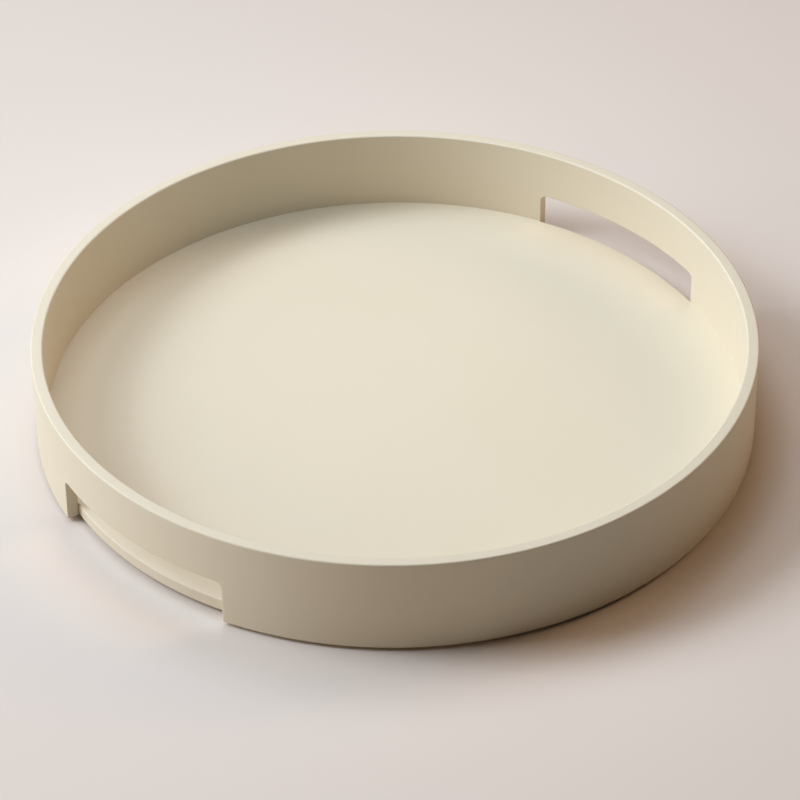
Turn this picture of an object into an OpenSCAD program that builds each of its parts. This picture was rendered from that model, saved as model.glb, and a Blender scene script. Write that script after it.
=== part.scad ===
// Round serving tray on a low turntable: a bent-wood wall with two handle slots
// stands on a ball-bearing swivel that is let into the underside of the tray floor.
// Z = 0 is the surface the feet stand on, and the swivel axis is the Z axis.
// The handle slots are centred on +X and -X.

/* [Tray] */
// Outside diameter of the tray wall
tray_d = 450; // [380:1:560]
// Height of the wall, from its bottom edge to its rim
wall_h = 63; // [44:0.5:100]
// Thickness of the wall
wall_t = 7.5; // [6:0.1:12]
// Thickness of the floor disc at its edge
floor_t = 8; // [6.5:0.1:9.6]
// Height of the floor's underside above the wall's bottom edge
floor_rise = 1.2; // [0.3:0.1:1.6]
// Thickness of floor left above the bearing pan
floor_skin = 2.6; // [1.8:0.1:4]
// Radius worked on the rim and the bottom edge of the wall
rim_r = 1.2; // [0.4:0.1:2]
// Radius worked on the upper edge of the floor disc
floor_edge_r = 0.8; // [0.2:0.1:2]

/* [Handle slots] */
// Angle that one slot spans around the wall, in degrees
slot_arc = 35.2; // [20:0.2:60]
// Height of the slot above the wall's bottom edge
slot_h = 29.7; // [20:0.1:36]
// Radius of the slot's two upper corners
slot_corner_r = 4; // [1:0.5:8]

/* [Swivel bearing] */
// Diameter of one bearing ball
ball_d = 3; // [2.5:0.1:4]
// Number of balls
ball_n = 36; // [12:1:60]
// Diameter of the circle that the ball centres run on
track_d = 228; // [180:1:236]
// Depth of the ball track in each plate
track_depth = 0.5; // [0.3:0.05:0.6]
// Thickness of the sheet steel of both plates
plate_t = 1; // [0.8:0.1:1.5]
// Width of the lower plate outside the circle of the balls
track_margin = 8; // [5:0.5:14]
// Width of the upper pan's screw flange
flange_w = 14; // [11:0.5:16]
// Width of the ball retainer ring
retainer_w = 12; // [8:0.5:14]
// Diameter of the rivet's barrel
rivet_d = 12; // [8:0.5:16]
// Bore through the rivet
rivet_bore_d = 9; // [4:0.5:12]
// Diameter of the rivet's upper head and of its rolled lower end
rivet_head_d = 20; // [18:0.5:26]
// Thickness of the rivet's head and of its rolled end
rivet_head_t = 0.6; // [0.4:0.1:0.8]
// Diameter of the two washers on the rivet
washer_d = 26; // [22:0.5:34]
// Thickness of the washer under the rivet's rolled end
rivet_washer_t = 0.5; // [0.3:0.1:0.8]

/* [Base] */
// Width of the base disc outside the pan's flange
base_margin = 13; // [8:0.5:24]
// Thickness of the base disc
base_t = 3; // [2.5:0.1:4]
// Radius worked on the lower edge of the base disc
base_edge_r = 1; // [0.3:0.1:1.2]
// Number of rubber feet
foot_n = 8; // [3:1:12]
// Diameter of one foot
foot_d = 18; // [10:0.5:20]
// Height of the feet below the base disc
foot_proud = 1.5; // [1:0.1:3]
// Depth of the seat that a foot is let into
foot_seat = 0.8; // [0.5:0.1:1]
// Distance of a foot's centre from the base disc's rim
foot_inset = 17; // [12:0.5:24]
// Diameter of the hole that lets a screwdriver through to the flange screws
access_d = 9; // [8:0.5:12]

/* [Fasteners] */
// Number of wood screws through the pan's flange
upper_screw_n = 6; // [3:1:8]
// Shank diameter of a flange screw
upper_screw_d = 3; // [2.5:0.1:3.5]
// Head diameter of a flange screw
upper_screw_head_d = 5; // [4.4:0.1:5.6]
// Wood left between a flange screw's point and the tray's upper face
upper_screw_cover = 1.2; // [0.8:0.1:2]
// Number of machine screws that hold the base disc to the lower plate
base_screw_n = 6; // [3:1:8]
// Shank diameter of a base screw
base_screw_d = 3; // [2.5:0.1:4]
// Head diameter of a base screw
base_screw_head_d = 5.6; // [5:0.1:7]
// Diameter of the circle that the base screws sit on
base_screw_circle_d = 170; // [120:1:190]
// Number of pegs that pin the floor disc in the wall
peg_n = 12; // [4:2:24]
// Diameter of a peg
peg_d = 3; // [2:0.1:4]
// Length of a peg
peg_l = 20; // [12:0.5:30]

/* [Clearances] */
// Radial gap between the base disc and its pocket in the floor
base_gap = 3; // [1.5:0.1:5]
// Gap between the top of the base disc and the turning parts above it
turn_gap = 0.7; // [0.4:0.1:1]
// Radial gap round the pan in its seat
seat_gap = 0.5; // [0.2:0.1:1]
// Gap between a ball and its track
ball_gap = 0.05; // [0.03:0.01:0.1]
// Radial gap between the rivet and what turns round it
rivet_gap = 0.05; // [0.03:0.01:0.1]
// Least gap between faces that slide past each other
slide_gap = 0.3; // [0.3:0.05:0.5]
// Radial gap between the lower plate's rim and the pan round it
pan_gap = 1; // [0.5:0.1:2]
// Radial gap between the rivet's washer and the hole in the base disc
hub_gap = 1; // [0.5:0.1:3]
// Gap between the retainer and each plate
retainer_gap = 0.45; // [0.3:0.05:0.6]
// Radial gap between a ball and its pocket in the retainer
pocket_gap = 0.15; // [0.1:0.05:0.3]
// Radial gap round a foot in its seat
foot_gap = 0.15; // [0.05:0.05:0.4]
// Depth left free past the end of a screw or a rivet head
end_gap = 0.2; // [0.1:0.05:0.4]
// Wood left outside the end of a peg
peg_cover = 0.8; // [0.4:0.1:2]

/* [Hidden] */
$fn = 96;
foot_names = [for (i = [1:foot_n]) str("foot_", i)];

// Heights, from the table upwards
base_z = foot_proud;
lower_z = base_z + base_t;
lower_top_z = lower_z + plate_t;
tube_r = ball_d / 2 + ball_gap;
ball_z = lower_top_z + tube_r - track_depth;
upper_z = ball_z + tube_r - track_depth;
pan_seat_z = upper_z + plate_t;
flange_z = lower_z + turn_gap;
flange_seat_z = flange_z + plate_t;
floor_top_z = pan_seat_z + floor_skin;
floor_z = floor_top_z - floor_t;
wall_z = floor_z - floor_rise;
retainer_t = upper_z - lower_top_z - 2 * retainer_gap;
upper_screw_l = floor_top_z - upper_screw_cover - flange_z;
washer_z = lower_z - slide_gap - rivet_washer_t;
rivet_z = washer_z - rivet_head_t;

// Radii, from the axis outwards
tray_r = tray_d / 2;
floor_r = tray_r - wall_t;
lower_plate_r = track_d / 2 + track_margin;
skirt_r = lower_plate_r + pan_gap;
skirt_out_r = skirt_r + plate_t;
flange_r = skirt_r + flange_w;
base_r = flange_r + base_margin;
foot_circle_r = base_r - foot_inset;
upper_screw_r = (skirt_out_r + flange_r) / 2;
hub_r = washer_d / 2 + hub_gap;

// Lightening holes in both plates, midway between the rivet's washer and the base screws
lighten_web = 15;
lighten_n = 6;
lighten_r = (washer_d / 2 + base_screw_circle_d / 2) / 2;
lighten_d = base_screw_circle_d / 2 - washer_d / 2 - 2 * lighten_web;

// Pegs are spread along each stretch of wall between the slots
peg_margin = 6;
peg_row_n = peg_n / 2;
peg_span = 180 - slot_arc - 2 * peg_margin;
peg_angles = [for (side = [90, 270], k = [0:peg_row_n - 1])
    side - peg_span / 2 + peg_span * k / (peg_row_n - 1)];

// Cross recess of a screw head
cross_w = 0.8;
cross_depth = 0.8;
tip_h = 1;
tip_d = 1;
past = 1;

cream = "#e4dcc6";
steel = "#b9bcbe";
nylon = "#efece2";
charcoal = "#2f3133";
rubber = "#26272a";
wood = "#c9a877";

// Section with all four corners rounded, standing on the radius axis
module rounded_section(w, h, r) {
    translate([r, 0]) square([w - 2 * r, h]);
    translate([0, r]) square([w, h - 2 * r]);
    for (x = [r, w - r], y = [r, h - r])
        translate([x, y]) circle(r = r);
}

// What a rounding tool takes off an outer corner at [x, y]; up is 1 or -1
module corner_waste(x, y, r, up) {
    difference() {
        translate([x - r, up > 0 ? y - r : y - past])
            square([r + past, r + past]);
        translate([x - r, y - up * r]) circle(r = r);
    }
}

// Ring of copies round the axis, the first one on +X
module ring_of(count, r, start = 0) {
    for (i = [0:count - 1])
        rotate([0, 0, start + i * 360 / count]) translate([r, 0, 0]) children();
}

// The space that one handle slot takes out of the wall, on +X
module slot_space() {
    half = slot_arc / 2;
    in_r = floor_r - past;
    out_r = tray_r + past;
    chord_r = out_r / cos(half);
    low_h = slot_h - slot_corner_r;
    dir = [cos(half), sin(half)];
    side = [sin(half), -cos(half)] * slot_corner_r;
    translate([0, 0, wall_z]) {
        translate([0, 0, -past]) rotate([0, 0, -half])
            rotate_extrude(angle = slot_arc)
                translate([in_r, 0]) square([out_r - in_r, low_h + past]);
        translate([0, 0, low_h - past]) linear_extrude(slot_corner_r + past)
            polygon([for (end = [[in_r, 1], [chord_r, 1], [chord_r, -1], [in_r, -1]])
                let (p = dir * end[0] + side) [p[0], p[1] * end[1]]]);
        for (s = [-1, 1])
            translate([side[0], s * side[1], low_h]) rotate([0, 0, s * half]) rotate([0, 90, 0])
                translate([0, 0, in_r]) cylinder(r = slot_corner_r, h = out_r - in_r);
    }
}

// Pegs, or the holes for them, lying along radii at half the floor's thickness
module peg_rods() {
    for (a = peg_angles)
        rotate([0, 0, a]) translate([tray_r - peg_cover - peg_l, 0, floor_z + floor_t / 2])
            rotate([0, 90, 0]) cylinder(d = peg_d, h = peg_l);
}

// Countersunk screw pointing up from its head's face at z = 0
module csk_screw(d, head_d, l, tip) {
    head_h = (head_d - d) / 2;
    difference() {
        union() {
            cylinder(d1 = head_d, d2 = d, h = head_h);
            cylinder(d = d, h = l - tip);
            translate([0, 0, l - tip]) cylinder(d1 = d, d2 = tip > 0 ? tip_d : d, h = tip);
        }
        for (a = [0, 90])
            rotate([0, 0, a]) translate([-d / 2, -cross_w / 2, -past])
                cube([d, cross_w, cross_depth + past]);
    }
}

// Countersunk hole for such a screw
module csk_hole(d, head_d, l) {
    cylinder(d = d, h = l);
    cylinder(d1 = head_d, d2 = d, h = (head_d - d) / 2);
}

// Ball track: the torus that the balls sweep, with their running gap
module track_section() {
    translate([track_d / 2, ball_z]) circle(r = tube_r);
}

module tray_wall() {
    color(cream) difference() {
        rotate_extrude()
            translate([floor_r, wall_z]) rounded_section(wall_t, wall_h, rim_r);
        for (a = [0, 180]) rotate([0, 0, a]) slot_space();
        peg_rods();
    }
}

module tray_floor() {
    color(cream) difference() {
        translate([0, 0, floor_z]) cylinder(r = floor_r, h = floor_t);
        translate([0, 0, floor_z - past])
            cylinder(r = base_r + base_gap, h = lower_z + turn_gap - floor_z + past);
        translate([0, 0, floor_z]) {
            cylinder(r = flange_r + seat_gap, h = flange_seat_z - floor_z);
            cylinder(r = skirt_out_r + seat_gap, h = pan_seat_z - floor_z);
            cylinder(r = rivet_head_d / 2 + seat_gap, h = pan_seat_z + rivet_head_t + end_gap - floor_z);
        }
        ring_of(upper_screw_n, upper_screw_r) translate([0, 0, flange_z])
            csk_hole(upper_screw_d, upper_screw_head_d, upper_screw_l + end_gap);
        // the edge is eased where the slots leave it bare
        for (a = [0, 180]) rotate([0, 0, a - slot_arc / 2]) rotate_extrude(angle = slot_arc) {
            corner_waste(floor_r, floor_top_z, floor_edge_r, 1);
            corner_waste(floor_r, floor_z, floor_edge_r, -1);
        }
        peg_rods();
    }
}

module floor_pegs() {
    color(wood) peg_rods();
}

// Pressed pan: a flat top with the upper track, a short skirt and a flange
module upper_plate() {
    color(steel) difference() {
        rotate_extrude() difference() {
            union() {
                translate([rivet_d / 2, upper_z]) square([skirt_out_r - rivet_d / 2, plate_t]);
                translate([skirt_r, flange_z]) square([plate_t, pan_seat_z - flange_z]);
                translate([skirt_r, flange_z]) square([flange_w, plate_t]);
            }
            track_section();
        }
        ring_of(lighten_n, lighten_r) translate([0, 0, upper_z - past])
            cylinder(d = lighten_d, h = plate_t + 2 * past);
        ring_of(upper_screw_n, upper_screw_r) translate([0, 0, flange_z])
            csk_hole(upper_screw_d, upper_screw_head_d, plate_t + past);
    }
}

module upper_screws() {
    color(steel) ring_of(upper_screw_n, upper_screw_r) translate([0, 0, flange_z])
        csk_screw(upper_screw_d, upper_screw_head_d, upper_screw_l, tip_h);
}

module spacer_washer() {
    color(nylon) translate([0, 0, lower_top_z + slide_gap]) difference() {
        cylinder(d = washer_d, h = upper_z - lower_top_z - slide_gap);
        translate([0, 0, -past]) cylinder(d = rivet_d, h = upper_z - lower_top_z + past);
    }
}

// Tubular rivet: a flat head above the pan, a barrel, and an end rolled out below
module pivot_rivet() {
    roll_r = min(rivet_head_t, (rivet_d - rivet_bore_d) / 2);
    color(steel) rotate_extrude() difference() {
        union() {
            translate([rivet_bore_d / 2, rivet_z])
                square([(rivet_d - rivet_bore_d) / 2, pan_seat_z + rivet_head_t - rivet_z]);
            translate([rivet_bore_d / 2, pan_seat_z])
                square([(rivet_head_d - rivet_bore_d) / 2, rivet_head_t]);
            translate([rivet_bore_d / 2, rivet_z])
                square([(rivet_head_d - rivet_bore_d) / 2, rivet_head_t]);
        }
        // the mouth is rolled, so its lip is round
        difference() {
            translate([rivet_bore_d / 2 - past, rivet_z - past]) square(roll_r + past);
            translate([rivet_bore_d / 2 + roll_r, rivet_z + roll_r]) circle(r = roll_r);
        }
    }
}

module rivet_washer() {
    color(steel) translate([0, 0, washer_z]) difference() {
        cylinder(d = washer_d, h = rivet_washer_t);
        translate([0, 0, -past]) cylinder(d = rivet_d, h = rivet_washer_t + 2 * past);
    }
}

module ball_retainer() {
    color(nylon) difference() {
        rotate_extrude() translate([track_d / 2 - retainer_w / 2, ball_z - retainer_t / 2])
            square([retainer_w, retainer_t]);
        ring_of(ball_n, track_d / 2) translate([0, 0, ball_z - retainer_t])
            cylinder(r = ball_d / 2 + pocket_gap, h = 2 * retainer_t);
    }
}

module bearing_balls() {
    color(steel) ring_of(ball_n, track_d / 2) translate([0, 0, ball_z]) sphere(d = ball_d);
}

module lower_plate() {
    color(steel) difference() {
        rotate_extrude() difference() {
            translate([rivet_d / 2 + rivet_gap, lower_z])
                square([lower_plate_r - rivet_d / 2 - rivet_gap, plate_t]);
            track_section();
        }
        ring_of(lighten_n, lighten_r) translate([0, 0, lower_z - past])
            cylinder(d = lighten_d, h = plate_t + 2 * past);
        ring_of(base_screw_n, base_screw_circle_d / 2, 180 / base_screw_n)
            translate([0, 0, lower_z - past]) cylinder(d = base_screw_d, h = plate_t + 2 * past);
    }
}

module base_disc() {
    color(charcoal) difference() {
        rotate_extrude() difference() {
            translate([hub_r, base_z]) square([base_r - hub_r, base_t]);
            corner_waste(base_r, base_z, base_edge_r, -1);
        }
        ring_of(base_screw_n, base_screw_circle_d / 2, 180 / base_screw_n) translate([0, 0, base_z])
            csk_hole(base_screw_d, base_screw_head_d, base_t + past);
        ring_of(foot_n, foot_circle_r, 180 / foot_n) translate([0, 0, base_z - past])
            cylinder(r = foot_d / 2 + foot_gap, h = foot_seat + past);
        translate([upper_screw_r, 0, base_z - past]) cylinder(d = access_d, h = base_t + 2 * past);
    }
}

module base_screws() {
    color(steel) ring_of(base_screw_n, base_screw_circle_d / 2, 180 / base_screw_n)
        translate([0, 0, base_z]) csk_screw(base_screw_d, base_screw_head_d, base_t + plate_t, 0);
}

module foot(i) {
    color(rubber) rotate([0, 0, (i - 0.5) * 360 / foot_n]) translate([foot_circle_r, 0, 0])
        rotate_extrude() difference() {
            square([foot_d / 2, foot_proud + foot_seat]);
            corner_waste(foot_d / 2, 0, foot_proud / 2, -1);
        }
}

tray_wall();
tray_floor();
floor_pegs();
upper_plate();
upper_screws();
spacer_washer();
pivot_rivet();
rivet_washer();
ball_retainer();
bearing_balls();
lower_plate();
base_disc();
base_screws();
for (i = [1:foot_n])
    foot(i);
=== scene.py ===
import math

import bmesh
import bpy
from mathutils import Matrix, Vector


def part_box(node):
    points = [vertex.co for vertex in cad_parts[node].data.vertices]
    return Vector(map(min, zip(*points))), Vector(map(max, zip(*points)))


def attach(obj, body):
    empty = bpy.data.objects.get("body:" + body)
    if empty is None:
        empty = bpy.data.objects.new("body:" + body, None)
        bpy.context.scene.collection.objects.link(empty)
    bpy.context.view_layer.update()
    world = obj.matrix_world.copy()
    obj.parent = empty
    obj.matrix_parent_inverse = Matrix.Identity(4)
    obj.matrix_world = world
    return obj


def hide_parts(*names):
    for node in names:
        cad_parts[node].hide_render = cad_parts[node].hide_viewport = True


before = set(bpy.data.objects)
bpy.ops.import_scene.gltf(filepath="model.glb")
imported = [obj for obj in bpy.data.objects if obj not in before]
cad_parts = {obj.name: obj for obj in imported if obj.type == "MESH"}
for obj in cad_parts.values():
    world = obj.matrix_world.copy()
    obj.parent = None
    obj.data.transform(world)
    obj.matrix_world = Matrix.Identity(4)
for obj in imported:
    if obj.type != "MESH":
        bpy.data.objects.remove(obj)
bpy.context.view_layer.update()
print("frame loaded:", len(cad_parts), "CAD nodes")

mm = 0.001
fullTurn = 2 * math.pi
hair = 0.01 * mm  # two places this close count as one
cornerAngle = math.radians(50)  # an edge that turns more than this is a corner
squarely = 0.9  # a face looks along an axis when that part of its normal is larger


# Small tools for the shapes.

def near(a, b):
    return abs(a - b) < 2 * hair


def atHeight(edge, height):
    return all(near(v.co.z, height) for v in edge.verts)


def onRim(item, radius):
    return item.xy.length > radius - 10 * hair


def isCorner(edge):
    return len(edge.link_faces) == 2 and edge.calc_face_angle(0) > cornerAngle


def looksUp(face):
    return face.normal.z > squarely


def looksDown(face):
    return face.normal.z < -squarely


def only(piece):
    bpy.ops.object.select_all(action="DESELECT")
    piece.select_set(True)
    bpy.context.view_layer.objects.active = piece


def editMode(on):
    bpy.ops.object.mode_set(mode="EDIT" if on else "OBJECT")


def pick(kind, test):
    # selects the verts, edges or faces for which the test holds, in edit mode
    bpy.ops.mesh.select_mode(type={"verts": "VERT", "edges": "EDGE", "faces": "FACE"}[kind])
    bpy.ops.mesh.select_all(action="DESELECT")
    mesh = bmesh.from_edit_mesh(bpy.context.edit_object.data)
    for element in getattr(mesh, kind):
        if test(element):
            element.select_set(True)
    mesh.select_flush_mode()
    bmesh.update_edit_mesh(bpy.context.edit_object.data)


def addCylinder(sides, radius, low, high, x=0, y=0):
    # stands between two heights
    bpy.ops.object.select_all(action="DESELECT")
    bpy.ops.mesh.primitive_cylinder_add(vertices=sides, radius=radius, depth=high - low,
                                        location=(x, y, (low + high) / 2))
    return bpy.context.object


def addBlock(long, wide, low, high, turn=0):
    bpy.ops.object.select_all(action="DESELECT")
    bpy.ops.mesh.primitive_cube_add(size=1, location=(0, 0, (low + high) / 2), rotation=(0, 0, turn),
                                    scale=(long, wide, high - low))
    return bpy.context.object


def beginPiece(name):
    # renames the primitive that was just added and bakes its size into its mesh
    piece = bpy.context.object
    piece.name = name
    piece.data.name = name
    bpy.ops.object.transform_apply(location=True, rotation=True, scale=True)
    return piece


def insetTo(radius, reached):
    # draws the picked round face in to a smaller radius
    bpy.ops.mesh.inset(thickness=reached - radius, use_even_offset=False)


def extrudeBy(rise):
    bpy.ops.mesh.extrude_region_move(TRANSFORM_OT_translate={"value": (0, 0, rise)})


def bevelBy(width, steps):
    bpy.ops.mesh.bevel(offset=width, segments=steps, affect="EDGES")


def applyModifier(piece, kind, **settings):
    only(piece)
    modifier = piece.modifiers.new(kind.lower(), kind)
    for name, value in settings.items():
        setattr(modifier, name, value)
    bpy.ops.object.modifier_apply(modifier=modifier.name)


def cutBy(piece, cutter):
    applyModifier(piece, "BOOLEAN", operation="DIFFERENCE", solver="EXACT", object=cutter)
    bpy.data.objects.remove(cutter)


def closeUp(piece, smoothAngle=35):
    # merges doubles, turns the faces outwards and shades the round faces smooth
    only(piece)
    editMode(True)
    bpy.ops.mesh.select_all(action="SELECT")
    bpy.ops.mesh.remove_doubles(threshold=hair / 2)
    bpy.ops.mesh.normals_make_consistent(inside=False)
    editMode(False)
    bpy.ops.object.shade_smooth_by_angle(angle=math.radians(smoothAngle))
    applyModifier(piece, "WEIGHTED_NORMAL", keep_sharp=True, weight=100)  # wide faces stay flat


def joined(parts, name):
    bpy.ops.object.select_all(action="DESELECT")
    for part in parts:
        part.select_set(True)
    bpy.context.view_layer.objects.active = parts[0]
    bpy.ops.object.join()
    parts[0].name = name
    parts[0].data.name = name
    return parts[0]


def ringOf(count, radius, startAngle=0):
    # places on a circle round the turning axis
    angles = [startAngle + fullTurn * i / count for i in range(count)]
    return [(radius * math.cos(a), radius * math.sin(a)) for a in angles]


def copyAt(piece, name, x, y):
    # a copy with its own mesh, moved there and turned to face outwards
    twin = piece.copy()
    twin.data = piece.data.copy()
    twin.name = name
    twin.data.name = name
    twin.data.transform(Matrix.Translation((x, y, 0)) @ Matrix.Rotation(math.atan2(y, x), 4, "Z"))
    bpy.context.scene.collection.objects.link(twin)
    return twin


# Small tools for the materials. A colour Mix node has several sockets of one name, so
# these are the numbers of its factor, its two colours and its result.
mixFactor, mixFirst, mixSecond, mixResult = 0, 6, 7, 2
noiseLow, noiseHigh = 0.3, 0.7  # noise seldom leaves this span


def linearColour(code):
    parts = [int(code[i:i + 2], 16) / 255 for i in (1, 3, 5)]
    return [p / 12.92 if p <= 0.04045 else ((p + 0.055) / 1.055) ** 2.4 for p in parts] + [1]


def perMetre(sizeInMm):
    # the scale of a pattern whose features are that wide
    return 1000 / sizeInMm


def feed(material, node, inputs):
    # an input takes a plain value or another node's output socket
    for name, value in inputs.items():
        if isinstance(value, bpy.types.NodeSocket):
            material.node_tree.links.new(value, node.inputs[name])
        else:
            node.inputs[name].default_value = value


def addNode(material, kind, settings, inputs):
    node = material.node_tree.nodes.new(kind)
    for name, value in settings.items():
        setattr(node, name, value)
    feed(material, node, inputs)
    return node


def newFinish(name):
    material = bpy.data.materials.new(name)
    material.use_nodes = True
    shader = material.node_tree.nodes["Principled BSDF"]
    coords = addNode(material, "ShaderNodeTexCoord", {}, {}).outputs["Object"]
    return material, shader, coords


def paint(piece, material):
    piece.data.materials.clear()
    piece.data.materials.append(material)


def satinLacquer():
    # Birch ply sprayed with two-part satin lacquer: a soft even sheen over a very fine
    # orange peel, with a slight drift of tone where the coats overlap.
    look = {"colour": "#dacfb6", "deeper": "#d8ccb2", "driftMm": 90, "patchMm": 14, "satin": 0.56,
            "satinSpread": 0.06, "peelMm": 1.8, "peelDepthMm": 0.012, "ior": 1.5}
    material, shader, coords = newFinish("satinCreamLacquer")
    drift = addNode(material, "ShaderNodeTexNoise", {}, {
        "Vector": coords, "Scale": perMetre(look["driftMm"]), "Detail": 2})
    tone = addNode(material, "ShaderNodeMix", {"data_type": "RGBA"}, {
        mixFactor: drift.outputs[0], mixFirst: linearColour(look["colour"]),
        mixSecond: linearColour(look["deeper"])})
    patches = addNode(material, "ShaderNodeTexNoise", {}, {
        "Vector": coords, "Scale": perMetre(look["patchMm"]), "Detail": 4})
    gloss = addNode(material, "ShaderNodeMapRange", {}, {
        "Value": patches.outputs[0], "From Min": noiseLow, "From Max": noiseHigh,
        "To Min": look["satin"] - look["satinSpread"], "To Max": look["satin"] + look["satinSpread"]})
    peel = addNode(material, "ShaderNodeTexNoise", {}, {
        "Vector": coords, "Scale": perMetre(look["peelMm"]), "Detail": 2})
    relief = addNode(material, "ShaderNodeBump", {}, {
        "Strength": 1, "Distance": look["peelDepthMm"] * mm, "Height": peel.outputs[0]})
    feed(material, shader, {
        "Base Color": tone.outputs[mixResult], "Roughness": gloss.outputs[0],
        "Normal": relief.outputs[0], "IOR": look["ior"]})
    return material


def beechDowel():
    # Turned beech dowel, left raw and glued in: fine straight flecks along the rod.
    look = {"wood": "#c9a877", "fleck": "#a98556", "fleckMm": 0.5, "stretch": 12, "depthMm": 0.03,
            "relief": 0.6, "roughness": 0.62}
    material, shader, coords = newFinish("rawBeechDowel")
    along = addNode(material, "ShaderNodeMapping", {}, {"Vector": coords, "Scale": (1, 1, look["stretch"])})
    fleck = addNode(material, "ShaderNodeTexNoise", {}, {
        "Vector": along.outputs[0], "Scale": perMetre(look["fleckMm"] * look["stretch"]), "Detail": 4})
    tone = addNode(material, "ShaderNodeMix", {"data_type": "RGBA"}, {
        mixFactor: fleck.outputs[0], mixFirst: linearColour(look["wood"]),
        mixSecond: linearColour(look["fleck"])})
    relief = addNode(material, "ShaderNodeBump", {}, {
        "Strength": look["relief"], "Distance": look["depthMm"] * mm, "Height": fleck.outputs[0]})
    feed(material, shader, {
        "Base Color": tone.outputs[mixResult], "Roughness": look["roughness"], "Normal": relief.outputs[0]})
    return material


def zincPlate():
    # Pressed mild steel with bright zinc plating: a cool grey with a faint cloudy bloom,
    # and rolling lines that break the reflections into fine streaks.
    look = {"zinc": "#b9bcbe", "bloom": "#a9adb0", "bloomMm": 22, "smooth": 0.30, "rough": 0.44,
            "rollMm": 0.9, "rollStretch": 40, "rollDepthMm": 0.006, "relief": 0.5}
    material, shader, coords = newFinish("brightZincPlatedSteel")
    clouds = addNode(material, "ShaderNodeTexNoise", {}, {
        "Vector": coords, "Scale": perMetre(look["bloomMm"]), "Detail": 4})
    tone = addNode(material, "ShaderNodeMix", {"data_type": "RGBA"}, {
        mixFactor: clouds.outputs[0], mixFirst: linearColour(look["zinc"]),
        mixSecond: linearColour(look["bloom"])})
    gloss = addNode(material, "ShaderNodeMapRange", {}, {
        "Value": clouds.outputs[0], "From Min": noiseLow, "From Max": noiseHigh,
        "To Min": look["smooth"], "To Max": look["rough"]})
    across = addNode(material, "ShaderNodeMapping", {}, {
        "Vector": coords, "Scale": (1, look["rollStretch"], 1)})
    lines = addNode(material, "ShaderNodeTexNoise", {}, {
        "Vector": across.outputs[0], "Scale": perMetre(look["rollMm"] * look["rollStretch"]), "Detail": 2})
    relief = addNode(material, "ShaderNodeBump", {}, {
        "Strength": look["relief"], "Distance": look["rollDepthMm"] * mm, "Height": lines.outputs[0]})
    feed(material, shader, {
        "Base Color": tone.outputs[mixResult], "Metallic": 1.0, "Roughness": gloss.outputs[0],
        "Normal": relief.outputs[0]})
    return material


def ballSteel():
    # Ground and polished bearing steel: a mirror with the faintest haze from handling oil.
    look = {"steel": "#d6d8da", "haze": "#c6c9cc", "hazeMm": 1.2, "smooth": 0.06, "rough": 0.16}
    material, shader, coords = newFinish("polishedBearingSteel")
    haze = addNode(material, "ShaderNodeTexNoise", {}, {
        "Vector": coords, "Scale": perMetre(look["hazeMm"]), "Detail": 3})
    tone = addNode(material, "ShaderNodeMix", {"data_type": "RGBA"}, {
        mixFactor: haze.outputs[0], mixFirst: linearColour(look["steel"]),
        mixSecond: linearColour(look["haze"])})
    gloss = addNode(material, "ShaderNodeMapRange", {}, {
        "Value": haze.outputs[0], "From Min": noiseLow, "From Max": noiseHigh,
        "To Min": look["smooth"], "To Max": look["rough"]})
    feed(material, shader, {
        "Base Color": tone.outputs[mixResult], "Metallic": 1.0, "Roughness": gloss.outputs[0]})
    return material


def naturalNylon():
    # Injection-moulded natural nylon: milky and slightly see-through at its edges.
    look = {"milk": "#efece2", "shade": "#e6e1d2", "cloudMm": 9, "skinMm": 0.35, "skinDepthMm": 0.01,
            "relief": 0.4, "roughness": 0.42, "ior": 1.53, "glow": 0.15, "glowDepthMm": 1.2}
    material, shader, coords = newFinish("naturalNylon")
    cloud = addNode(material, "ShaderNodeTexNoise", {}, {
        "Vector": coords, "Scale": perMetre(look["cloudMm"]), "Detail": 3})
    tone = addNode(material, "ShaderNodeMix", {"data_type": "RGBA"}, {
        mixFactor: cloud.outputs[0], mixFirst: linearColour(look["milk"]),
        mixSecond: linearColour(look["shade"])})
    skin = addNode(material, "ShaderNodeTexNoise", {}, {
        "Vector": coords, "Scale": perMetre(look["skinMm"]), "Detail": 2})
    relief = addNode(material, "ShaderNodeBump", {}, {
        "Strength": look["relief"], "Distance": look["skinDepthMm"] * mm, "Height": skin.outputs[0]})
    feed(material, shader, {
        "Base Color": tone.outputs[mixResult], "Roughness": look["roughness"], "IOR": look["ior"],
        "Normal": relief.outputs[0], "Subsurface Weight": look["glow"],
        "Subsurface Scale": look["glowDepthMm"] * mm,
        "Subsurface Radius": (1.0, 0.85, 0.7)})  # red light goes deepest
    return material


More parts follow.
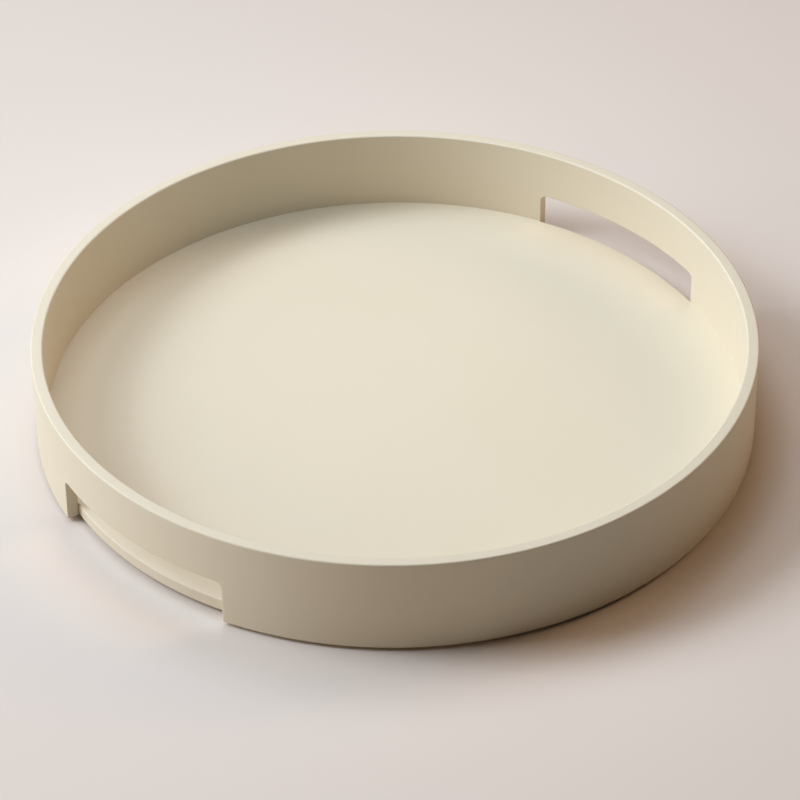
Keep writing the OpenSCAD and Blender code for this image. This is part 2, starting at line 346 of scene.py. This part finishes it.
def charcoalAbs():
    # Moulded ABS from a spark-eroded tool: an even fine grain that scatters the light,
    # with a faint flow cloud from the middle gate.
    look = {"body": "#2f3133", "lift": "#383a3c", "cloudMm": 60, "grainMm": 0.9, "grainDepthMm": 0.05,
            "grainRoughness": 0.6, "grainLow": 0.35, "grainHigh": 0.65, "relief": 0.8, "smooth": 0.46,
            "rough": 0.6, "ior": 1.54}
    material, shader, coords = newFinish("charcoalGrainedAbs")
    cloud = addNode(material, "ShaderNodeTexNoise", {}, {
        "Vector": coords, "Scale": perMetre(look["cloudMm"]), "Detail": 3})
    tone = addNode(material, "ShaderNodeMix", {"data_type": "RGBA"}, {
        mixFactor: cloud.outputs[0], mixFirst: linearColour(look["body"]),
        mixSecond: linearColour(look["lift"])})
    grain = addNode(material, "ShaderNodeTexNoise", {}, {
        "Vector": coords, "Scale": perMetre(look["grainMm"]), "Detail": 3,
        "Roughness": look["grainRoughness"]})
    relief = addNode(material, "ShaderNodeBump", {}, {
        "Strength": look["relief"], "Distance": look["grainDepthMm"] * mm, "Height": grain.outputs[0]})
    gloss = addNode(material, "ShaderNodeMapRange", {}, {
        "Value": grain.outputs[0], "From Min": look["grainLow"], "From Max": look["grainHigh"],
        "To Min": look["smooth"], "To Max": look["rough"]})
    feed(material, shader, {
        "Base Color": tone.outputs[mixResult], "Roughness": gloss.outputs[0], "IOR": look["ior"],
        "Normal": relief.outputs[0]})
    return material


def footRubber():
    # Soft moulded rubber: nearly black, matt, with pale dust held in its pores.
    look = {"rubber": "#26272a", "dust": "#3b3a38", "dustMm": 2.2, "dustFrom": 0.52, "dustFull": 0.75,
            "dustMost": 0.8, "dustRoughness": 0.65, "poreMm": 0.5, "poreDepthMm": 0.03, "relief": 0.6,
            "roughness": 0.78}
    material, shader, coords = newFinish("softBlackRubber")
    dust = addNode(material, "ShaderNodeTexNoise", {}, {
        "Vector": coords, "Scale": perMetre(look["dustMm"]), "Detail": 5,
        "Roughness": look["dustRoughness"]})
    share = addNode(material, "ShaderNodeMapRange", {}, {
        "Value": dust.outputs[0], "From Min": look["dustFrom"], "From Max": look["dustFull"],
        "To Min": 0, "To Max": look["dustMost"]})
    tone = addNode(material, "ShaderNodeMix", {"data_type": "RGBA"}, {
        mixFactor: share.outputs[0], mixFirst: linearColour(look["rubber"]),
        mixSecond: linearColour(look["dust"])})
    pores = addNode(material, "ShaderNodeTexNoise", {}, {
        "Vector": coords, "Scale": perMetre(look["poreMm"]), "Detail": 2})
    relief = addNode(material, "ShaderNodeBump", {}, {
        "Strength": look["relief"], "Distance": look["poreDepthMm"] * mm, "Height": pores.outputs[0]})
    feed(material, shader, {
        "Base Color": tone.outputs[mixResult], "Roughness": look["roughness"], "Normal": relief.outputs[0]})
    return material


finishes = {
    "tray_lacquer": satinLacquer(),
    "peg_wood": beechDowel(),
    "zinc_steel": zincPlate(),
    "ball_steel": ballSteel(),
    "nylon": naturalNylon(),
    "base_plastic": charcoalAbs(),
    "foot_rubber": footRubber(),
}
print("finishes made:", len(finishes))

# The tray's wall and floor go round in this many columns, and each handle slot spans
# this many degrees of both.
trayColumns = 480
slotArc = 35.2


def modelTrayWall():
    # The wall is laid out flat, cut and eased, and then bent round.
    size = {"thick": 7.5 * mm, "slotHigh": 29.7 * mm, "slotCorner": 4 * mm, "rimEase": 1.2 * mm,
            "slotEase": 0.8 * mm, "easeSteps": 4, "cornerSteps": 10}
    low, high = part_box("tray_wall")
    midRadius = high.x - size["thick"] / 2
    length = fullTurn * midRadius
    halfSlot = length * slotArc / 360 / 2
    slotTop = low.z + size["slotHigh"]
    slotCentres = (-length / 4, length / 4)

    addBlock(length, size["thick"], low.z, high.z)
    strip = beginPiece("trayWallBent")
    editMode(True)
    pick("faces", lambda f: abs(f.normal.x) > squarely)
    bpy.ops.mesh.delete(type="FACE")  # the two ends meet later
    for centre in slotCentres:
        for x in (centre - halfSlot, centre + halfSlot):
            bpy.ops.mesh.select_all(action="SELECT")
            bpy.ops.mesh.bisect(plane_co=(x, 0, 0), plane_no=(1, 0, 0))
    bpy.ops.mesh.select_all(action="SELECT")
    bpy.ops.mesh.bisect(plane_co=(0, 0, slotTop), plane_no=(0, 0, 1))

    def inSlot(face):
        middle = face.calc_center_median()
        fromSlot = min(abs(middle.x - centre) for centre in slotCentres)
        return fromSlot < halfSlot + hair and middle.z < slotTop - hair

    pick("faces", inSlot)
    bpy.ops.mesh.delete(type="FACE")
    for centre in slotCentres:
        pick("edges", lambda e: e.is_boundary and not atHeight(e, low.z)
             and all(abs(v.co.x - centre) < halfSlot + hair for v in e.verts))
        bpy.ops.mesh.bridge_edge_loops()
    bpy.ops.mesh.select_all(action="SELECT")
    bpy.ops.mesh.dissolve_limited(angle_limit=math.radians(1))

    # the slots' upper corners are round
    pick("edges", lambda e: near(e.verts[0].co.x, e.verts[1].co.x) and atHeight(e, slotTop))
    bpy.ops.mesh.bevel(offset=size["slotCorner"], offset_type="OFFSET", segments=size["cornerSteps"],
                       affect="EDGES")
    # every corner is eased, the rims a little more than the slots
    mesh = bmesh.from_edit_mesh(strip.data)
    weight = mesh.edges.layers.float.new("bevel_weight_edge")
    for e in mesh.edges:
        if not e.is_boundary and e.calc_face_angle(0) > cornerAngle:
            alongStrip = near(e.verts[0].co.y, e.verts[1].co.y)
            isRim = alongStrip and (atHeight(e, high.z) or atHeight(e, low.z))
            e[weight] = 1 if isRim else size["slotEase"] / size["rimEase"]
    bmesh.update_edit_mesh(strip.data)
    editMode(False)
    applyModifier(strip, "BEVEL", width=size["rimEase"], segments=size["easeSteps"], limit_method="WEIGHT")

    # cut across into narrow columns, so that the strip can bend
    editMode(True)
    for i in range(1, trayColumns):
        bpy.ops.mesh.select_all(action="SELECT")
        bpy.ops.mesh.bisect(plane_co=(-length / 2 + length * i / trayColumns, 0, 0), plane_no=(1, 0, 0))
    editMode(False)
    applyModifier(strip, "SIMPLE_DEFORM", deform_method="BEND", deform_axis="Z", angle=fullTurn)
    strip.location.y -= midRadius
    only(strip)
    bpy.ops.object.transform_apply(location=True, rotation=True, scale=True)
    closeUp(strip)
    return strip


trayWall = modelTrayWall()
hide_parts("tray_wall")
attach(trayWall, "tray")
paint(trayWall, finishes["tray_lacquer"])
print("tray wall:", len(trayWall.data.polygons), "faces")


def modelTrayFloor():
    # The floor is a disc with a stepped seat for the swivel in its underside.
    size = {"edgeEase": 0.8 * mm, "easeSteps": 4, "rimBand": 2 * mm,
            "steps": [(153 * mm, 5.2 * mm), (137.5 * mm, 6.2 * mm), (124.5 * mm, 8.6 * mm),
                      (10.5 * mm, 9.4 * mm)],  # radius and height of each
            "screws": 6, "screwCircle": 130.5 * mm, "screwHole": 3 * mm, "screwEnd": 10.2 * mm,
            "holeSides": 24}
    low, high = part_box("tray_floor")
    radius = high.x
    addCylinder(trayColumns, radius, low.z, high.z)
    disc = beginPiece("trayFloorDisc")
    editMode(True)
    pick("faces", looksDown)
    insetTo(radius - size["rimBand"], radius)  # a narrow band keeps the underside's shading flat
    reached, height = radius - size["rimBand"], low.z
    for stepRadius, stepHeight in size["steps"]:
        insetTo(stepRadius, reached)
        extrudeBy(stepHeight - height)
        reached, height = stepRadius, stepHeight

    def bareEdge(e):
        # on the disc's edge, where the handle slots leave it bare
        middle = (e.verts[0].co + e.verts[1].co) / 2
        level = near(e.verts[0].co.z, e.verts[1].co.z)
        angle = abs(math.atan2(middle.y, abs(middle.x)))
        return level and onRim(middle, radius) and angle < math.radians(slotArc / 2)

    pick("edges", bareEdge)
    bevelBy(size["edgeEase"], size["easeSteps"])
    editMode(False)

    pilots = [addCylinder(size["holeSides"], size["screwHole"] / 2, 0, size["screwEnd"], x, y)
              for x, y in ringOf(size["screws"], size["screwCircle"])]
    cutBy(disc, joined(pilots, "pilotHoles"))
    closeUp(disc)
    return disc


trayFloor = modelTrayFloor()
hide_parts("tray_floor")
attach(trayFloor, "tray")
paint(trayFloor, finishes["tray_lacquer"])
print("tray floor:", len(trayFloor.data.polygons), "faces")

# The countersunk screws and the holes for them in the base disc share these sizes.
baseScrewSize = {"count": 6, "circle": 85 * mm, "head": 2.8 * mm, "shank": 1.5 * mm, "headDepth": 1.3 * mm}


def modelBaseDisc():
    # The moulded disc that stands still, with two grooves, seats for the feet, screw holes
    # and one hole that lets a screwdriver through.
    size = {"sides": 256, "hub": 14 * mm, "grooves": [(116 * mm, 114.5 * mm), (58 * mm, 56.5 * mm)],
            "grooveDepth": 0.4 * mm, "edgeEase": 1 * mm, "edgeSteps": 5, "fineEase": 0.25 * mm,
            "fineSteps": 2, "feet": 8, "footCircle": 133 * mm, "footSeat": 9.15 * mm,
            "seatDepth": 0.8 * mm, "seatSides": 48, "screwSides": 32, "intoCone": 0.9,
            "accessCircle": 130.5 * mm, "accessHole": 4.5 * mm}
    screw = baseScrewSize
    low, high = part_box("base_disc")
    radius, thick = high.x, high.z - low.z
    addCylinder(size["sides"], radius, low.z, high.z)
    disc = beginPiece("baseDiscMoulded")
    editMode(True)
    pick("faces", looksUp)
    insetTo(size["hub"], radius)
    bpy.ops.mesh.delete(type="FACE")
    pick("faces", looksDown)
    reached = radius
    for ring in [r for groove in size["grooves"] for r in groove] + [size["hub"]]:
        insetTo(ring, reached)
        reached = ring
    bpy.ops.mesh.delete(type="FACE")
    pick("edges", lambda e: e.is_boundary)
    bpy.ops.mesh.bridge_edge_loops()
    for outer, inner in size["grooves"]:
        pick("faces", lambda f: looksDown(f) and inner < f.calc_center_median().xy.length < outer)
        extrudeBy(size["grooveDepth"])

    def lowerRim(e):
        return atHeight(e, low.z) and all(onRim(v.co, radius) for v in e.verts)

    pick("edges", lambda e: isCorner(e) and not lowerRim(e))
    bevelBy(size["fineEase"], size["fineSteps"])
    pick("edges", lambda e: isCorner(e) and lowerRim(e))
    bevelBy(size["edgeEase"], size["edgeSteps"])
    editMode(False)

    cutters = [addCylinder(size["seatSides"], size["footSeat"], low.z - size["seatDepth"],
                           low.z + size["seatDepth"], x, y)
               for x, y in ringOf(size["feet"], size["footCircle"], math.pi / size["feet"])]
    slope = (screw["head"] - screw["shank"]) / screw["headDepth"]
    for x, y in ringOf(screw["count"], screw["circle"], math.pi / screw["count"]):
        shankFrom = low.z + screw["headDepth"] * size["intoCone"]  # the hole starts inside the cone
        shankTo = shankFrom + 4 * thick
        cutters.append(addCylinder(size["screwSides"], screw["shank"], shankFrom, shankTo, x, y))
        # the cone goes on for a millimetre below the face
        bpy.ops.mesh.primitive_cone_add(
            vertices=size["screwSides"], radius1=screw["head"] + slope * mm, radius2=screw["shank"],
            depth=screw["headDepth"] + mm, location=(x, y, low.z + (screw["headDepth"] - mm) / 2))
        cutters.append(bpy.context.object)
    cutters.append(addCylinder(size["seatSides"], size["accessHole"], low.z - 2 * thick,
                               low.z + 2 * thick, size["accessCircle"], 0))
    for cutter in cutters:
        cutBy(disc, cutter)
    closeUp(disc, 30)
    return disc


def modelBaseScrews():
    # Flat-head screws with a cross recess, all one piece.
    size = {"sides": 40, "rimEase": 0.12 * mm, "rimSteps": 2, "recessWide": 0.8 * mm,
            "recessLong": 3.2 * mm, "recessDeep": 0.9 * mm, "taper": 0.6}
    screw = baseScrewSize
    low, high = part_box("base_screws")
    bpy.ops.object.select_all(action="DESELECT")
    bpy.ops.mesh.primitive_cone_add(
        vertices=size["sides"], radius1=screw["head"], radius2=screw["shank"], depth=screw["headDepth"],
        location=(0, 0, low.z + screw["headDepth"] / 2))
    first = beginPiece("countersunkScrew")
    editMode(True)
    pick("faces", looksUp)
    extrudeBy(high.z - low.z - screw["headDepth"])
    pick("edges", lambda e: atHeight(e, low.z))
    bevelBy(size["rimEase"], size["rimSteps"])
    editMode(False)
    for turn in (0, math.pi / 2):
        addBlock(size["recessLong"], size["recessWide"], low.z - size["recessDeep"],
                 low.z + size["recessDeep"], turn)
        blade = beginPiece("recessBlade")
        editMode(True)
        pick("faces", looksUp)
        bpy.ops.transform.resize(value=(size["taper"], size["taper"], 1))
        editMode(False)
        cutBy(first, blade)
    closeUp(first, 30)
    places = ringOf(screw["count"], screw["circle"], math.pi / screw["count"])
    twins = [copyAt(first, "baseScrew%d" % i, x, y) for i, (x, y) in enumerate(places)]
    bpy.data.objects.remove(first)
    return joined(twins, "baseScrewsCountersunk")


def modelFeet():
    # Round rubber feet with an eased edge and a shallow dish, one piece for each CAD node.
    size = {"sides": 64, "edgeEase": 0.75 * mm, "edgeSteps": 6, "dishInset": 2.4 * mm,
            "dishDepth": 0.35 * mm, "dishEase": 0.15 * mm, "dishSteps": 2}
    nodes = sorted(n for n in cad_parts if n.startswith("foot_"))
    low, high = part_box(nodes[0])
    radius = (high.x - low.x) / 2
    addCylinder(size["sides"], radius, low.z, high.z)
    foot = beginPiece("rubberFoot")
    editMode(True)
    pick("faces", looksDown)
    insetTo(radius - size["dishInset"], radius)
    extrudeBy(size["dishDepth"])
    pick("edges", lambda e: isCorner(e) and all(v.co.xy.length < radius - size["edgeEase"] for v in e.verts))
    bevelBy(size["dishEase"], size["dishSteps"])
    pick("edges", lambda e: atHeight(e, low.z) and all(onRim(v.co, radius) for v in e.verts))
    bevelBy(size["edgeEase"], size["edgeSteps"])
    editMode(False)
    closeUp(foot)
    for nodeName in nodes:
        low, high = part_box(nodeName)
        middle = (low + high) / 2
        twin = copyAt(foot, nodeName.replace("foot_", "rubberFoot"), middle.x, middle.y)
        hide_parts(nodeName)
        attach(twin, "base")
        paint(twin, finishes["foot_rubber"])
    bpy.data.objects.remove(foot)
    return len(nodes)


baseDisc = modelBaseDisc()
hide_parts("base_disc")
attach(baseDisc, "base")
paint(baseDisc, finishes["base_plastic"])
baseScrews = modelBaseScrews()
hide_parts("base_screws")
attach(baseScrews, "base")
paint(baseScrews, finishes["zinc_steel"])
print("base disc:", len(baseDisc.data.polygons), "faces; feet:", modelFeet())

# The CAD nodes that keep their own shape and take a finish.
cadFinish = {
    "floor_pegs": "peg_wood", "upper_plate": "zinc_steel", "upper_screws": "zinc_steel",
    "lower_plate": "zinc_steel", "pivot_rivet": "zinc_steel", "rivet_washer": "zinc_steel",
    "spacer_washer": "nylon", "ball_retainer": "nylon", "bearing_balls": "ball_steel",
}
for nodeName, slotName in cadFinish.items():
    paint(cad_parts[nodeName], finishes[slotName])
print("CAD nodes painted:", len(cadFinish))

studioRadius = 3.0  # of the floor and of the backdrop ring that stands on its edge
ringSides = 128


def makeFloor():
    # Matt background paper: no gloss, a barely seen drift of tone.
    look = {"paper": "#ded3c7", "drift": "#dcd1c5", "driftMm": 400, "roughness": 0.9, "specular": 0.2}
    bpy.ops.object.select_all(action="DESELECT")
    bpy.ops.mesh.primitive_circle_add(vertices=ringSides, radius=studioRadius, fill_type="NGON")
    floor = beginPiece("studioFloor")
    material, shader, coords = newFinish("matteBackgroundPaper")
    drift = addNode(material, "ShaderNodeTexNoise", {}, {
        "Vector": coords, "Scale": perMetre(look["driftMm"]), "Detail": 2})
    tone = addNode(material, "ShaderNodeMix", {"data_type": "RGBA"}, {
        mixFactor: drift.outputs[0], mixFirst: linearColour(look["paper"]),
        mixSecond: linearColour(look["drift"])})
    feed(material, shader, {
        "Base Color": tone.outputs[mixResult], "Roughness": look["roughness"],
        "Specular IOR Level": look["specular"]})
    paint(floor, material)


def makeBackdrop():
    # A pale ring round the floor's edge, which only the camera sees. Its glow is painted light, and painted
    # shade makes it darker towards its foot.
    look = {"low": "#c9c0b8", "high": "#dcd5ce", "tall": 1.8, "paintedShadePart": 1 / 3}
    bpy.ops.object.select_all(action="DESELECT")
    bpy.ops.mesh.primitive_cylinder_add(vertices=ringSides, radius=studioRadius, depth=look["tall"],
                                        location=(0, 0, look["tall"] / 2), end_fill_type="NOTHING")
    ring = beginPiece("studioBackdrop")
    ring.visible_diffuse = False
    ring.visible_glossy = False
    ring.visible_transmission = False
    ring.visible_shadow = False
    material, shader, coords = newFinish("paleBackdropPaintedGlow")
    height = addNode(material, "ShaderNodeSeparateXYZ", {}, {"Vector": coords})
    # painted shade: the low colour at the foot blends into the high colour over this lowest part of the ring
    rise = addNode(material, "ShaderNodeMapRange", {}, {
        "Value": height.outputs["Z"], "From Max": look["tall"] * look["paintedShadePart"]})
    tone = addNode(material, "ShaderNodeMix", {"data_type": "RGBA"}, {
        mixFactor: rise.outputs[0], mixFirst: linearColour(look["low"]),
        mixSecond: linearColour(look["high"])})
    # the emission is painted light: the ring is no lamp and lights nothing else
    feed(material, shader, {
        "Base Color": (0, 0, 0, 1), "Specular IOR Level": 0, "Emission Color": tone.outputs[mixResult],
        "Emission Strength": 1})
    paint(ring, material)


# The camera is turned this far from looking along +Y, and the lights go round with it.
cameraHeading = -45.495


def makeLight(name, place, size, power, colour):
    data = bpy.data.lights.new(name, "AREA")
    data.shape = "SQUARE"
    data.size = size
    data.energy = power
    data.color = colour
    light = bpy.data.objects.new(name, data)
    bpy.context.scene.collection.objects.link(light)
    light.location = place
    return light


def makeLights():
    cool, warm, daylight = (0.76, 0.86, 1.0), (1.0, 0.66, 0.40), (1.0, 0.92, 0.88)
    # soft boxes far off: degrees round from the camera's left hand, degrees up, width in
    # metres, watts and tint
    farLights = {
        "windowLow": (0, 16, 1.4, 42.0, cool),
        "windowMiddle": (0, 37, 1.4, 78.0, cool),
        "windowHigh": (12, 46, 1.4, 57.4, cool),
        "frontFill": (-30, 20, 1.4, 19.2, warm),
        "skyFront": (20, 78, 1.6, 17.2, daylight),
        "skyLeft": (35, 62, 1.6, 15.6, cool),
        "skyBack": (80, 62, 1.6, 21.0, cool),
        "warmBounce": (150, 30, 1.6, 46.0, warm),
    }
    distance = 4.0
    leftHand = math.radians(cameraHeading + 180)
    for name, (around, lift, size, power, colour) in farLights.items():
        angle, rise = leftHand - math.radians(around), math.radians(lift)
        way = Vector((math.cos(angle) * math.cos(rise), math.sin(angle) * math.cos(rise), math.sin(rise)))
        light = makeLight(name, way * distance, size, power, colour)
        light.rotation_euler = (-way).to_track_quat("-Z", "Y").to_euler()
    # small lamps close above the tray: metres right, back and up, width in metres and watts
    nearLamps = {"lampLeft": (-0.15, 0.05, 0.40, 0.20, 0.40), "lampRight": (0.1, 0.1, 0.45, 0.25, 0.322)}
    for name, (right, back, up, size, power) in nearLamps.items():
        place = Matrix.Rotation(math.radians(cameraHeading), 3, "Z") @ Vector((right, back, up))
        makeLight(name, place, size, power, cool)


def makeCamera():
    # place in metres, tilt up from straight down and roll in degrees, lens in millimetres
    shot = {"place": (-1.2278, -1.2108, 1.3425), "tilt": 52.304, "roll": -0.428, "lens": 156.0,
            "sensor": 36, "clipNear": 0.05, "clipFar": 50}
    data = bpy.data.cameras.new("studioCamera")
    data.sensor_width = shot["sensor"]
    data.lens = shot["lens"]
    data.clip_start = shot["clipNear"]
    data.clip_end = shot["clipFar"]
    camera = bpy.data.objects.new("studioCamera", data)
    bpy.context.scene.collection.objects.link(camera)
    camera.matrix_world = (Matrix.Translation(shot["place"])
                           @ Matrix.Rotation(math.radians(cameraHeading), 4, "Z")
                           @ Matrix.Rotation(math.radians(shot["tilt"]), 4, "X")
                           @ Matrix.Rotation(math.radians(shot["roll"]), 4, "Z"))
    bpy.context.scene.camera = camera


def makeAir():
    look = {"tint": (1, 0.95, 0.9, 1), "strength": 0.02}
    world = bpy.data.worlds.new("studioAir")
    world.use_nodes = True
    air = world.node_tree.nodes["Background"]
    air.inputs["Color"].default_value = look["tint"]
    air.inputs["Strength"].default_value = look["strength"]
    bpy.context.scene.world = world
    bpy.context.scene.view_settings.view_transform = "Standard"


makeFloor()
makeBackdrop()
makeLights()
makeAir()
makeCamera()
print("studio ready")
